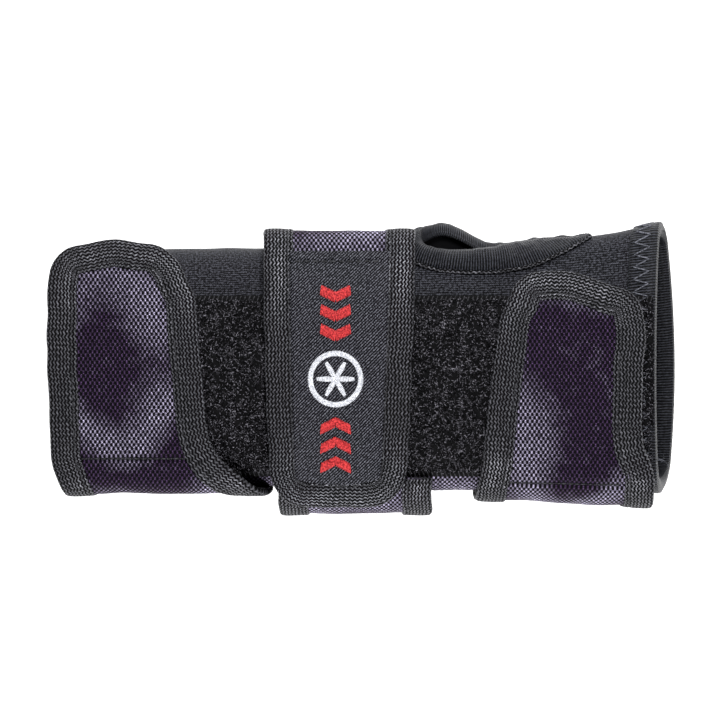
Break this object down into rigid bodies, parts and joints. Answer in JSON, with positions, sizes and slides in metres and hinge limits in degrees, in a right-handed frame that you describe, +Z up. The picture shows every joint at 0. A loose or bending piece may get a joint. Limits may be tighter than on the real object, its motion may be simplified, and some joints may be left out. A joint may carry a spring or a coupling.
{
  "type": "wrist guard",
  "caption": "Splinted neoprene wrist guard sleeve with a thumb hole, a palm cover and bound straps that peel off a loop panel; the wrist strap carries a woven label.",
  "frame": {"origin": "on the surface the guard lies on, palm side down, under the middle of its outline", "axes": "+X from the forearm end to the hand end, +Y towards the thumb, +Z up out of the back of the hand"},
  "size_m": [0.2095, 0.1004, 0.0571],
  "materials": {
    "neoprene": "matt black knit-faced neoprene",
    "stretch_binding": "black ribbed stretch tape with a slight sheen",
    "binding_tape": "black ribbed nylon binding tape",
    "woven_shell": "coarse plain-woven nylon, blotched dark violet and black",
    "palm_fabric": "plain black woven nylon",
    "loop_pile": "black curly loop pile",
    "hook_tape": "black hook tape",
    "splint_plastic": "dark moulded splint",
    "foam": "closed-cell foam",
    "label_satin": "black satin label cloth",
    "red_thread": "red embroidery thread",
    "white_thread": "white embroidery thread"
  },
  "bodies": {
    "sleeve": {"dorsal_panel": "neoprene", "palm_panel": "neoprene", "thumb_binding": "stretch_binding", "hand_hem": "stretch_binding", "forearm_hem": "stretch_binding", "dorsal_splint": "splint_plastic", "loop_panel": "loop_pile", "palm_cover": "palm_fabric", "palm_cover_binding": "binding_tape", "palm_splint": "splint_plastic", "palm_pad": "foam", "side_gusset": "woven_shell", "forearm_anchor": "woven_shell", "forearm_anchor_binding": "binding_tape", "hand_anchor": "woven_shell", "hand_anchor_binding": "binding_tape", "wrist_wrap": "woven_shell", "wrist_wrap_binding": "binding_tape"},
    "forearm_strap": {"forearm_flap": "woven_shell", "forearm_flap_binding": "binding_tape", "forearm_hook": "hook_tape"},
    "wrist_strap": {"wrist_flap": "woven_shell", "wrist_flap_binding": "binding_tape", "wrist_hook": "hook_tape", "label_patch": "label_satin", "motif_chevrons": "red_thread", "motif_ring": "white_thread"},
    "hand_strap": {"hand_flap": "woven_shell", "hand_flap_binding": "binding_tape", "hand_hook": "hook_tape"}
  },
  "joints": [
    {"name": "forearm_strap_peel", "type": "hinge", "parent": "sleeve", "child": "forearm_strap", "pos_m": [-0.076, -0.03644, 0.05009], "axis": [1, 0, 0], "range_deg": [0, 165]},
    {"name": "wrist_strap_peel", "type": "hinge", "parent": "sleeve", "child": "wrist_strap", "pos_m": [-0.0078, 0.04049, 0.04856], "axis": [-1, 0, 0], "range_deg": [0, 165]},
    {"name": "hand_strap_peel", "type": "hinge", "parent": "sleeve", "child": "hand_strap", "pos_m": [0.067, -0.03644, 0.05009], "axis": [1, 0, 0], "range_deg": [0, 165]}
  ]
}
